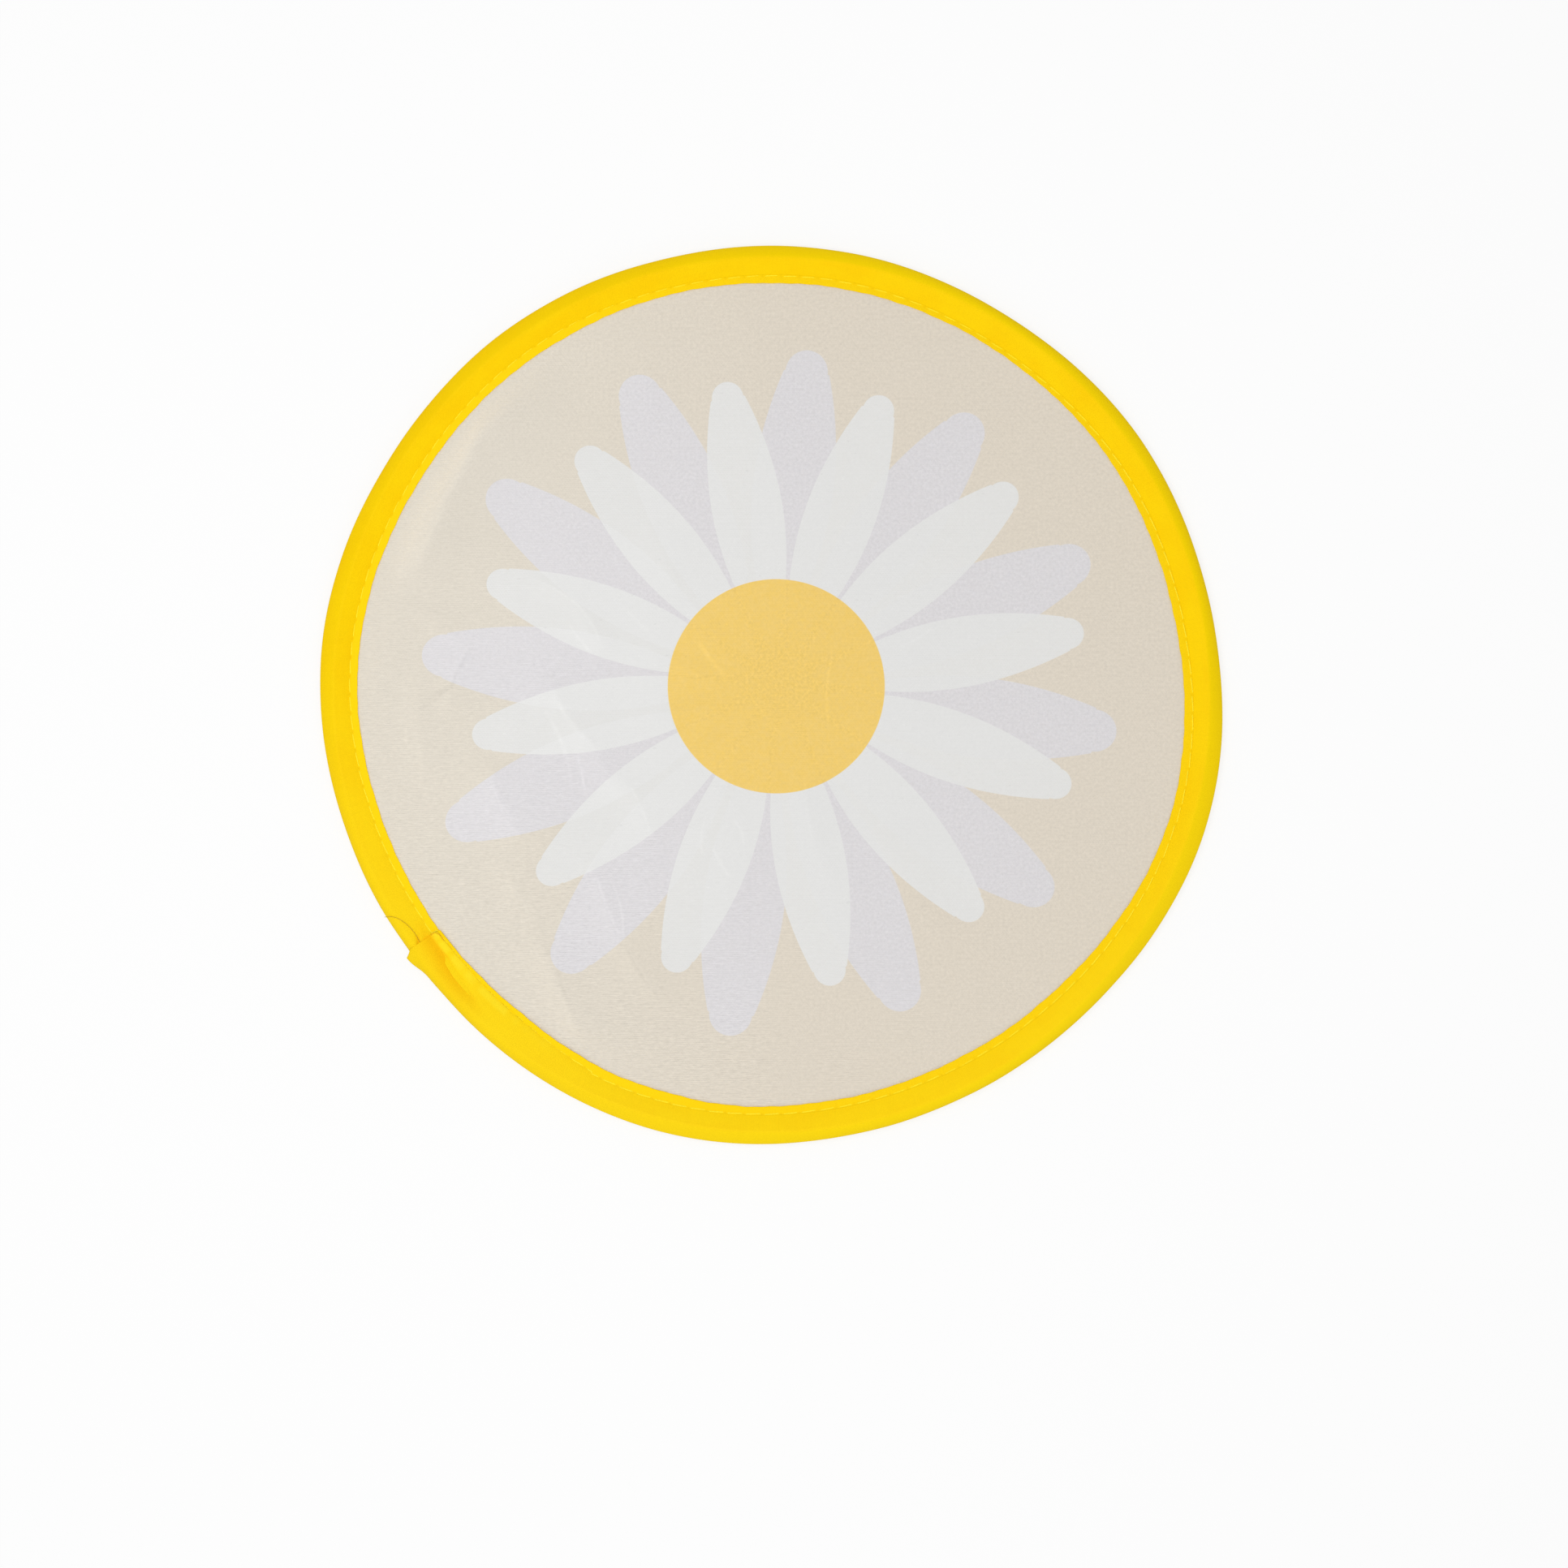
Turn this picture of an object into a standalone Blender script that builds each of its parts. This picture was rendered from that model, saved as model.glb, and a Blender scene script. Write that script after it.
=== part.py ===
"""Round pop-up hand fan: a cloth disc held taut by a springy steel hoop inside its edge binding.

The fan lies flat with its printed face up. The origin is at the centre of its underside,
+Y points to the top of the print and +X to its right. Lengths are in metres, angles in degrees.
"""

from math import cos, degrees, hypot, pi, radians, sin

import bmesh
import bpy

# Overall size and cloth
outer_radius = 0.1
tape_thickness = 0.0002
panel_thickness = 0.0002
cloth_gap = 0.0001

# Binding tape, across its width on one face
hem_width = 0.0029
slope_width = 0.002
panel_catch = 0.0024

# Binding tape, where its two ends lap
lap_angle = 216.0
lap_length = 0.043
fold_length = 0.006
fold_step = 0.0002
lap_dip = 0.0006
dip_length_before = 0.058
dip_length_after = 0.043
flare_reach = 0.0007
flare_length = 0.0062
tuck_length = 0.024
tuck_clear_length = 0.004
settle_length = 0.012

# Flat spring wire of the hoop
band_height = 0.002
band_thickness = 0.0004
band_edge_cut = 0.0001
splice_angle = 36.0
splice_length = 0.014
join_length = 0.034

# Crimped sleeve over the two ends of the wire
sleeve_wall = 0.00025
sleeve_length = 0.01
sleeve_corner = 0.00035
sleeve_seam = 0.00015
crimp_depth = 0.0001
crimp_place_shares = (0.3, 0.7)
crimp_half_share = 0.09
metal_gap = 0.0001

# Room for the hoop to run round inside the binding
running_gap = 0.00015
nose_room = 0.0005

# Facets
ring_steps = 100
slope_steps = 3
nose_steps = 4
corner_steps = 2
flare_steps = 3

# Sizes that follow from those above
full_turn = 360.0
step_turn = full_turn / ring_steps
lap_depth = 2 * tape_thickness + cloth_gap
hem_height = panel_thickness / 2 + cloth_gap + tape_thickness
sleeve_half_height = band_height / 2 + metal_gap + sleeve_wall
sleeve_half_width = band_thickness + 1.5 * metal_gap + sleeve_wall
ridge_height = sleeve_half_height + running_gap + tape_thickness + lap_depth
hoop_radius = outer_radius - lap_dip - lap_depth - tape_thickness - nose_room - sleeve_half_width
ridge_outer_radius = hoop_radius + sleeve_half_width - sleeve_corner
ridge_inner_radius = hoop_radius - sleeve_half_width
hem_outer_radius = ridge_inner_radius - slope_width
inner_edge_radius = hem_outer_radius - hem_width
panel_radius = inner_edge_radius + panel_catch
splice_pitch = band_thickness + metal_gap


def ease(share):
    """A smooth step from 0 to 1 that is level at both ends."""
    share = min(max(share, 0.0), 1.0)
    return share * share * (3 - 2 * share)


def turn_of(length):
    """The angle that a length takes up along the hoop."""
    return degrees(length / hoop_radius)


def stations(total_turn, marks):
    """Angles from one end of a strip to the other: even steps, giving way to the marks near them."""
    ends = [0.0, total_turn, *marks]
    count = int(total_turn / step_turn) + 1
    even = [index * step_turn for index in range(count)]
    clear = [turn for turn in even if min(abs(turn - end) for end in ends) > step_turn / 4]
    return sorted(clear + ends)


def sweep(name, start_angle, turns, section_at, material):
    """Carry a closed section along the ring: one face, extruded from station to station."""

    def place(point, turn):
        radius, height = point
        angle = radians(start_angle + turn)
        return radius * cos(angle), radius * sin(angle), ridge_height + height

    shape = bmesh.new()
    face = shape.faces.new([shape.verts.new(place(point, turns[0])) for point in section_at(turns[0])])
    for turn in turns[1:]:
        grown = bmesh.ops.extrude_face_region(shape, geom=[face, *face.edges])["geom"]
        face = next(item for item in grown if isinstance(item, bmesh.types.BMFace))
        for vert, point in zip(face.verts, section_at(turn)):
            vert.co = place(point, turn)
    bmesh.ops.recalc_face_normals(shape, faces=shape.faces)
    return add_object(name, shape, material)


def add_object(name, shape, material):
    """Turn a finished shape into a named object, smooth but for its sharp edges."""
    mesh = bpy.data.meshes.new(name)
    shape.to_mesh(mesh)
    shape.free()
    mesh.shade_smooth()
    mesh.set_sharp_from_angle(angle=radians(40))
    mesh.materials.append(material)
    item = bpy.data.objects.new(name, mesh)
    bpy.context.scene.collection.objects.link(item)
    return item


def finish(name, colour, roughness, metallic=0.0):
    """A plain surface finish."""
    material = bpy.data.materials.new(name)
    material.use_nodes = True
    shader = material.node_tree.nodes["Principled BSDF"]
    shader.inputs["Base Color"].default_value = (*colour, 1.0)
    shader.inputs["Roughness"].default_value = roughness
    shader.inputs["Metallic"].default_value = metallic
    return material


def inset_line(points, depth):
    """A line of section points moved square to itself, towards the inside of the folded tape."""
    moved = []
    for index, (radius, height) in enumerate(points):
        before = points[max(index - 1, 0)]
        after = points[min(index + 1, len(points) - 1)]
        run, rise = after[0] - before[0], after[1] - before[1]
        length = hypot(run, rise)
        moved.append((radius + depth * rise / length, height - depth * run / length))
    return moved


def folded_line(hem, nose_radius):
    """The outside of the folded tape: hem, slope, flat ridge and round nose, mirrored below."""
    top = [(inner_edge_radius, hem)]
    for step in range(slope_steps + 1):
        share = step / slope_steps
        top.append((hem_outer_radius + share * slope_width, hem + ease(share) * (ridge_height - hem)))
    for step in range(nose_steps + 1):
        angle = step / nose_steps * pi / 2
        reach = nose_radius - ridge_outer_radius
        top.append((ridge_outer_radius + reach * sin(angle), ridge_height * cos(angle)))
    top[-1] = (nose_radius, 0.0)
    return top + [(radius, -height) for radius, height in reversed(top[:-1])]


def binding_section(turn):
    """The tape's section at an angle from its turned-under end.

    In the lap the first end rides over the last one, which is drawn in so that both faces of
    the rim stay level. The end that shows is turned under, and so is twice as thick.
    """
    past = turn % full_turn
    over = 1 - ease((turn - turn_of(lap_length)) / turn_of(settle_length))
    tuck_start = full_turn - turn_of(tuck_length)
    under = ease((turn - tuck_start) / turn_of(tuck_length - tuck_clear_length))
    drawn_in = max(
        1 - ease(past / turn_of(dip_length_after)),
        1 - ease((full_turn - past) / turn_of(dip_length_before)),
    )
    flare = flare_reach * (1 - ease(turn / turn_of(flare_length)))
    nose_radius = outer_radius - lap_dip * drawn_in + flare
    line = folded_line(hem_height + max(over, under) * lap_depth, nose_radius)
    folded = turn <= turn_of(fold_length)
    thickness = 2 * tape_thickness if folded else tape_thickness
    rounding = tape_thickness / 2 if turn == 0 else 0.0
    outside = inset_line(line, under * lap_depth + rounding)
    inside = inset_line(line, under * lap_depth + thickness - rounding)
    return outside + inside[::-1]


def build_binding(material):
    """The edge binding: one tape folded round the hoop, more than once round, ends lapped."""
    total = full_turn + turn_of(lap_length)
    marks = [turn_of(fold_step), turn_of(fold_length), turn_of(fold_length + fold_step)]
    marks += [turn_of(flare_length) * step / flare_steps for step in range(1, flare_steps)]
    return sweep("edge_binding", lap_angle, stations(total, marks), binding_section, material)


def build_panel(material):
    """The cloth disc, its edge caught between the two leaves of the binding."""
    shape = bmesh.new()
    bmesh.ops.create_circle(shape, cap_ends=True, cap_tris=True, segments=ring_steps, radius=panel_radius)
    grown = bmesh.ops.extrude_face_region(shape, geom=shape.faces[:])["geom"]
    raised = [item for item in grown if isinstance(item, bmesh.types.BMVert)]
    bmesh.ops.translate(shape, verts=raised, vec=(0, 0, panel_thickness))
    bmesh.ops.translate(shape, verts=shape.verts, vec=(0, 0, ridge_height - panel_thickness / 2))
    bmesh.ops.recalc_face_normals(shape, faces=shape.faces)
    return add_object("fabric_panel", shape, material)


def band_section(turn):
    """The wire's section: a rectangle on edge with its corners taken off.

    The wire is round the hoop's centre line, and steps in at one end and out at the other,
    so that its two ends lie side by side in the sleeve.
    """
    first = 1 - ease((turn - turn_of(splice_length)) / turn_of(join_length))
    last = ease((turn - full_turn + turn_of(join_length)) / turn_of(join_length))
    centre = hoop_radius + (last - first) * splice_pitch / 2
    half_width, half_height = band_thickness / 2, band_height / 2
    points = []
    for side, level in ((-1, -1), (1, -1), (1, 1), (-1, 1)):
        on_side = (centre + side * half_width, level * (half_height - band_edge_cut))
        on_level = (centre + side * (half_width - band_edge_cut), level * half_height)
        points += [on_side, on_level] if side * level > 0 else [on_level, on_side]
    return points


def build_hoop(material):
    """The spring hoop: one length of flat wire standing on edge, its ends overlapping."""
    total = full_turn + turn_of(splice_length)
    marks = [turn_of(splice_length), full_turn]
    return sweep("spring_hoop", splice_angle, stations(total, marks), band_section, material)


def sleeve_line(half_width, half_height, corner):
    """Once round a flat oval from one side of the seam to the other."""
    points = [(-half_width, -sleeve_seam / 2)]
    for quarter, (side, level) in enumerate(((-1, -1), (1, -1), (1, 1), (-1, 1))):
        for step in range(corner_steps + 1):
            angle = pi + (quarter + step / corner_steps) * pi / 2
            across = side * (half_width - corner) + corner * cos(angle)
            along = level * (half_height - corner) + corner * sin(angle)
            points.append((across, along))
    points.append((-half_width, sleeve_seam / 2))
    return points


def sleeve_section(turn):
    """The sleeve's section: rolled sheet with an open seam, pressed in at each crimp."""
    share = turn / turn_of(sleeve_length)
    press = max(1 - abs(share - place) / crimp_half_share for place in crimp_place_shares)
    depth = crimp_depth * ease(press)
    outside = sleeve_line(sleeve_half_width - depth, sleeve_half_height - depth, sleeve_corner)
    inside = sleeve_line(
        sleeve_half_width - sleeve_wall, sleeve_half_height - sleeve_wall, sleeve_corner - sleeve_wall
    )
    return [(hoop_radius + across, along) for across, along in outside + inside[::-1]]


def build_sleeve(material):
    """The splice ferrule: a sleeve rolled round both ends of the wire and crimped twice."""
    total = turn_of(sleeve_length)
    shares = [0.0, 1.0]
    for place in crimp_place_shares:
        shares += [place - crimp_half_share, place, place + crimp_half_share]
    turns = [share * total for share in sorted(shares)]
    start = splice_angle + (turn_of(splice_length) - total) / 2
    return sweep("splice_ferrule", start, turns, sleeve_section, material)


def main():
    """Build the fan in an empty scene, with the hoop's pieces on the axis they turn about."""
    for item in list(bpy.data.objects):
        bpy.data.objects.remove(item)
    build_panel(finish("printed_cloth", (0.71, 0.65, 0.55), 0.8))
    build_binding(finish("yellow_tape", (0.95, 0.64, 0.005), 0.65))
    axis = bpy.data.objects.new("hoop_axis", None)
    axis.location = (0, 0, ridge_height)
    bpy.context.scene.collection.objects.link(axis)
    pieces = [
        build_hoop(finish("spring_steel", (0.32, 0.33, 0.34), 0.35, 1.0)),
        build_sleeve(finish("sleeve_steel", (0.55, 0.55, 0.56), 0.45, 1.0)),
    ]
    bpy.context.view_layer.update()
    for piece in pieces:
        piece.parent = axis
        piece.matrix_parent_inverse = axis.matrix_world.inverted()


main()
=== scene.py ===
"""Round pop-up hand fan, dressed: a printed cloth held by a ribbon that is folded round a spring hoop.

Lengths are in metres, and angles in degrees, apart from the sidebar's, which Blender keeps in
radians. The frame is the CAD model's: the fan lies on the floor with its print up, its middle over
the origin, +Y to the top of the print and +X to its right.
"""

from functools import partial
from math import cos, degrees, pi, radians, sin

import bpy
import numpy as np
from bpy.props import FloatProperty, FloatVectorProperty, IntProperty, PointerProperty
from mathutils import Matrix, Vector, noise


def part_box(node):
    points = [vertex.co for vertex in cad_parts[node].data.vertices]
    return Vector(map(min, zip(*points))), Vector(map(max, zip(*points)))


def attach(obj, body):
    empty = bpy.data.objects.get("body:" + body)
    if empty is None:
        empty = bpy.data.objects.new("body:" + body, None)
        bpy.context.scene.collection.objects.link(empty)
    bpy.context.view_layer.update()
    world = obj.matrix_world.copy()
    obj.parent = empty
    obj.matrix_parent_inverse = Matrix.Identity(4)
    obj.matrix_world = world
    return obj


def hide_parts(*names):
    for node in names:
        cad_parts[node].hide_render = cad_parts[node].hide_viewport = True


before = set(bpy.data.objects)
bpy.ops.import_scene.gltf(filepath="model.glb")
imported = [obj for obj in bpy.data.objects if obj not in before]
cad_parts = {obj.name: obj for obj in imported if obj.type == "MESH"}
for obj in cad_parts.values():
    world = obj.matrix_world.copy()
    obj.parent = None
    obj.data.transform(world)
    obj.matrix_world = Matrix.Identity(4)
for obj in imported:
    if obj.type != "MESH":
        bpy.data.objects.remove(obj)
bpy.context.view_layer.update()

bl_info = {
    "name": "Pop-up Hand Fan",
    "version": (1, 0, 0),
    "blender": (4, 5, 0),
    "location": "3D View > Sidebar > Hand Fan",
    "description": "Makes the cloth, ribbon, threads and steel finishes of a round pop-up hand fan",
    "category": "Add Mesh",
}

hoop_low, hoop_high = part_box("spring_hoop")
panel_low, panel_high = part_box("fabric_panel")
middle_height = (hoop_low.z + hoop_high.z) / 2
wire_radius = (hoop_high.x - hoop_low.x) / 2
mm = 0.001
full_turn = 360.0

# The outline of the real hoop isn't quite round: waves per turn, size in millimetres, start in degrees
outline_waves = (
    (1, 0.06, 80), (2, 0.36, -59), (3, 0.21, 20), (4, 0.41, -50),
    (5, 0.27, -149), (6, 0.07, -68), (7, 0.13, -145), (8, 0.15, -92),
)

# Where a radius is larger or smaller: angle, spread in degrees, change in millimetres. They are the
# ribbon's inner edge, the same edge in the lap's upper layer, and the row of stitches
edge_bumps = ((60, 18, 0.42), (102, 8, 0.30), (123, 7, -0.20), (354, 8, -0.15))
lap_bumps = ((233, 14, -0.9), (255, 6, -0.38))
row_bumps = ((48, 16, -0.42),)

# Where the stitches on the front stand out a little: degrees from the lap, spread and share of a thread
faint_stitches = ((338, 19, 0.9), (46, 17, 0.8))

# Margin between the row of stitches and the ribbon's edge along the lap, in millimetres
lap_margins = ((0.0, 10.8, 17.5, 28.5, 50.0), (0.45, 0.45, 0.85, 1.0, 1.65))

# Angle in degrees and radius in millimetres of points along each loose thread
tail_route = (
    (215.7, 96.0), (214.9, 95.75), (214.1, 95.55), (212.9, 95.7),
    (211.8, 96.2), (210.8, 97.1), (210.2, 98.2), (209.9, 99.4),
)
hook_route = (
    (215.3, 93.0), (215.2, 92.5), (215.2, 92.0), (215.4, 91.6),
    (215.8, 91.35), (216.4, 91.3), (217.2, 91.35),
)

# Soft folds left in the cloth by its storage: the crest from top to bottom, how far it falls away on
# its left and on its right, and its height, all in millimetres
cloth_folds = (
    (((-60, 69), (-64.8, 61.2), (-67.1, 53), (-72.4, 43.1), (-75.4, 35.6), (-79.5, 26)), 4.2, 12, 1.6),
    (((-49.2, 4), (-48.2, 0.5), (-43, -8.7), (-38, -14.5), (-34.5, -22)), 4.2, 9, 0.52),
    (((-62.8, -15), (-61.1, -23.3), (-57.4, -28.5), (-56, -34)), 4.6, 8, 0.50),
    (((-59.8, -36), (-55.6, -47), (-53, -54)), 2.4, 7, 0.24),
    (((-51.8, -54), (-47.9, -65.1), (-44.4, -71.3), (-41, -78)), 4.5, 9, 0.75),
    (((-34, -18), (-29.8, -24.7), (-27.6, -31)), 3, 6, 0.24),
    (((-40.4, -37), (-36.4, -49), (-33.4, -55.5), (-27.7, -63.7), (-23, -70)), 2.4, 6, 0.28),
    (((-53.5, 27), (-43, 19.8), (-36.6, 8)), 3.2, 6, 0.36),
    (((-67.6, 10), (-70.2, 3), (-73, -4)), 3, 5, 0.30),
    (((-78, 6), (-78.6, -6), (-77, -18)), 3, 6, 0.30),
    (((-80.5, 20), (-74, 16), (-69, 10.5)), 3, 6, 0.20),
    (((-28, 40), (-24, 30), (-21, 22)), 3, 7, 0.16),
    (((6, -18), (9, -30), (14, -46)), 4, 8, 0.16),
    (((24, -30), (31, -44), (40, -58)), 5, 9, 0.16),
)

# Fine creases: pale lines where the print has cracked, with painted light and painted shade along the
# folds, shade where the strength is negative. Two ends and half width in millimetres, bow, and strength
cloth_creases = (
    (-49.2, 2, -38.2, -12.8, 0.44, 0.075, 0.026),
    (-51, -2.4, -44.4, -22.6, 0.38, -0.067, 0.028),
    (-43.4, -12.6, -41.2, -23, 0.24, 0, 0.034),
    (-62.3, -18.4, -57.4, -27.6, 0.26, 0.11, 0.036),
    (-59, -42, -53.6, -52, 0.28, -0.105, 0.036),
    (-39.2, -40, -33.1, -55.2, 0.30, 0.02, 0.050),
    (-36.4, -40.2, -33, -55.2, 0.26, -0.075, 0.044),
    (-33.1, -55.6, -24.4, -68.8, 0.32, 0.03, -0.036),
    (-49.9, -58.5, -43.5, -77.5, 0.50, 0, 0.010),
    (-48.7, -58.5, -42.3, -77.5, 0.45, 0, -0.014),
    (-38.5, -62, -30, -75, 0.80, 0, 0.010),
    (-42.1, -15, -41.7, -23.2, 0.26, 0.02, 0.022),
    (-47.6, -49.4, -43.2, -54.2, 0.28, 0.04, 0.018),
    (-31.6, -20.4, -27, -31.4, 0.26, -0.05, 0.030),
    (-52, 25.4, -37.2, 9, 0.30, -0.13, 0.030),
    (-45.2, 16, -40, 9.2, 0.26, 0.04, 0.030),
    (-36, 32.5, -30, 24.5, 0.34, 0.08, 0.022),
    (-52.5, 5, -46.5, 9, 0.28, 0.06, 0.020),
    (-17, 12.8, -9.2, 3, 0.42, 0.03, 0.048),
    (-5.3, 0.4, 2.8, -9.2, 0.26, 0.02, 0.028),
    (13.8, 10, 12.6, -7, 0.28, 0.05, 0.034),
    (-77.4, -1.6, -70.4, 2.8, 0.50, 0.02, -0.040),
    (-67, 10.4, -71.8, 0.4, 0.38, 0.03, -0.042),
    (28.5, 10.5, 36.5, 15.5, 0.30, 0.04, 0.016),
    (7.5, -15, 9.5, -34, 0.30, 0.04, 0.014),
    (-14.8, -27, -15.4, -37, 0.26, 0.05, 0.020),
    (-13.6, -33, -8.8, -41.6, 0.28, 0.03, 0.025),
    (-8.9, -27.4, -6.2, -34.2, 0.26, -0.12, 0.022),
    (-70.6, 2.6, -80.5, -4.6, 0.32, -0.04, -0.022),
    (-81.8, 0.5, -79, -22, 0.30, 0.04, 0.018),
    (-34.2, -57.5, -29.8, -70.5, 0.28, 0.02, 0.015),
    (-32.4, 19.4, -27, 13.6, 0.30, 0.04, 0.020),
)


def setting(make, fixed, name, description, default):
    """One size, count or colour that can be set in the sidebar."""
    return make(name=name, description=description, default=default, **fixed)


metric = {"unit": "LENGTH", "precision": 6}
number = partial(setting, IntProperty, {})
fraction = partial(setting, FloatProperty, {})
length = partial(setting, FloatProperty, metric)
angle = partial(setting, FloatProperty, {"unit": "ROTATION"})
place = partial(setting, FloatVectorProperty, {"size": 2, **metric})
ring = partial(setting, FloatVectorProperty, {"size": 5, **metric})
colour = partial(setting, FloatVectorProperty, {"size": 3, "subtype": "COLOR", "min": 0, "max": 1})


class ClothSizes(bpy.types.PropertyGroup):
    """Sizes of the cloth disc."""

    radius: length("Radius", "Radius the cloth is cut to", panel_high.x)
    thickness: length("Thickness", "Thickness of the cloth", panel_high.z - panel_low.z)
    weft_pitch: length("Weft pitch", "From one weft yarn to the next", 0.000425)
    warp_pitch: length("Warp pitch", "From one warp yarn to the next", 0.00031)
    folds: fraction("Folds", "Share of the soft folds' full height", 1.0)


# What the five lengths of a ring of petals are
ring_lengths = "Widest place, half width there, run to where it would close, tip's middle, tip's radius"


class PrintSizes(bpy.types.PropertyGroup):
    """Sizes of the printed rosette."""

    petals: number("Petals", "Petals in each ring", 12)
    disc_radius: length("Disc radius", "Radius of the yellow disc", 0.02387)
    disc_place: place("Disc place", "Middle of the yellow disc", (0.00101, 0.00184))
    white_ring: ring("White petals", ring_lengths, (0.04073, 0.00785, 0.0336, 0.06475, 0.0035))
    white_place: place("White place", "Middle of the white petals", (0.00148, 0.00238))
    white_turn: angle("White turn", "Clockwise turn of the first white petal", radians(20.02))
    lilac_ring: ring("Lilac petals", ring_lengths, (0.0476, 0.00897, 0.0374, 0.07215, 0.0047))
    lilac_place: place("Lilac place", "Middle of the lilac petals", (-0.0006, 0.00033))
    lilac_turn: angle("Lilac turn", "Clockwise turn of the first lilac petal", radians(6.67))
    stretch: fraction("Stretch", "Share by which the cloth has pulled the print wider", 0.0132)
    flare: fraction("Flare", "How fast that share grows towards the foot, per metre", 0.1)


class RibbonSizes(bpy.types.PropertyGroup):
    """Sizes of the folded ribbon."""

    thickness: length("Thickness", "Thickness of the ribbon", 0.0002)
    outer_radius: length("Outer radius", "Radius of the outer fold", 0.1)
    edge_radius: length("Inner radius", "Radius of the ribbon's edges", 0.0917)
    edge_height: length("Edge lift", "Height of the ribbon's edge over the cloth's middle", 0.00044)
    row_margin: length("Row margin", "From the ribbon's edge to the row of stitches", 0.00165)
    row_height: length("Row height", "Height of the ribbon at the row of stitches", 0.00035)
    crest_radius: length("Crest radius", "Radius of the ridge over the hoop", 0.0972)
    crest_height: length("Crest height", "Height of the ridge on the printed face", 0.0020)
    floor_height: length("Back crest height", "Height of the ridge on the back", middle_height)
    lap_angle: angle("Lap angle", "Where the turned-under end lies", radians(215.15))
    lap_length: length("Lap length", "How far the two ends overlap", 0.043)
    layer: length("Layer", "Room that one lapped layer takes up", 0.00022)
    fold_length: length("Fold length", "How much of the end is turned under", 0.006)
    tip_reach: length("Tip reach", "How far the end's corner stands out", 0.00115)
    weave_pitch: length("Weave pitch", "From one yarn of the ribbon to the next", 0.00030)


class StitchSizes(bpy.types.PropertyGroup):
    """Sizes of the lockstitch."""

    count: number("Stitches", "Stitches once round the fan", 142)
    thread: length("Thread", "Diameter of the sewing thread", 0.00024)
    pull: length("Pull", "How far a stitch's holes are drawn in", 0.00006)
    slant: length("Slant", "How far a stitch leans out of its row", 0.00009)
    sink: length("Sink", "How far a stitch's ends go into the ribbon", 0.00034)
    tail: length("Loose thread", "Diameter of the loose thread at the lap", 0.00013)


class FanColours(bpy.types.PropertyGroup):
    """Dyes, inks and metals, and tones that paint light and shade on the cloth, ribbon and threads."""

    ground: colour("Ground", "Dyed ground of the cloth", (0.716, 0.650, 0.552))
    # Painted light: the ground as it looks on the cloth's more brightly lit left side
    ground_lit_left: colour("Ground, faded", "Ground where it has faded", (0.733, 0.680, 0.590))
    white: colour("White", "White ink", (0.758, 0.757, 0.745))
    lilac: colour("Lilac", "Lilac ink", (0.698, 0.682, 0.702))
    disc: colour("Disc", "Yellow ink", (0.858, 0.592, 0.150))
    back: colour("Back", "Unprinted side of the cloth", (0.730, 0.672, 0.580))
    ribbon: colour("Ribbon", "Dyed ribbon", (0.985, 0.652, 0.0015))
    deep: colour("Ribbon, deep", "Ribbon where the dye is heavier", (0.975, 0.618, 0.001))
    # Painted shade tint: the greener hue of the outer strip where it turns away from the light
    turned: colour("Ribbon, turned", "Ribbon where it turns over the hoop", (0.960, 0.672, 0.001))
    hem: colour("Ribbon, hem", "Ribbon inside the row of stitches", (0.970, 0.650, 0.004))
    # Painted shade: the ribbon in the shaded folds and the tuck of the lap
    painted_fold_shade: colour("Ribbon, hollow", "Ribbon in the folds of the lap", (0.97, 0.515, 0.003))
    # Painted light: the ribbon on the lit strip along the lap's hem and on its lit lower left
    painted_lit: colour("Ribbon, raised", "Ribbon along the lap's hem", (0.99, 0.735, 0.016))
    rubbed: colour("Ribbon, rubbed", "Ribbon along its outer fold", (0.95, 0.72, 0.08))
    # Needle holes, and the painted shade in the row's groove along the lap
    holes_and_groove_shade: colour("Ribbon, pierced", "Ribbon at the needle holes", (0.60, 0.32, 0.0))
    thread: colour("Thread", "Sewing thread", (1.0, 0.830, 0.030))
    # Painted shade: the thread where it hooks over the lap, in shade
    hook_in_shade: colour("Thread, in_shade", "Sewing thread where it hooks over the lap", (0.82, 0.50, 0.01))
    # Painted shade: the loose thread darkened as if in shade
    loose: colour("Loose thread", "Loose end of thread at the lap", (0.60, 0.42, 0.02))
    hoop: colour("Hoop", "Tempered spring steel", (0.32, 0.33, 0.34))
    hoop_stain: colour("Hoop, stained", "Dull stains on the hoop", (0.16, 0.15, 0.17))
    sleeve: colour("Sleeve", "Plain steel of the splice sleeve", (0.55, 0.55, 0.56))
    sleeve_stain: colour("Sleeve, stained", "Dull stains on the sleeve", (0.32, 0.30, 0.27))


# Shader sums


def on_value(operation):
    """A method of Value that adds a Math node, with the value first."""
    return lambda value, *others: value.math(operation, value, *others)


def both_ways(operation):
    """The same, and its reflected form, with the value last."""
    return on_value(operation), lambda value, other: value.math(operation, other, value)


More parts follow.
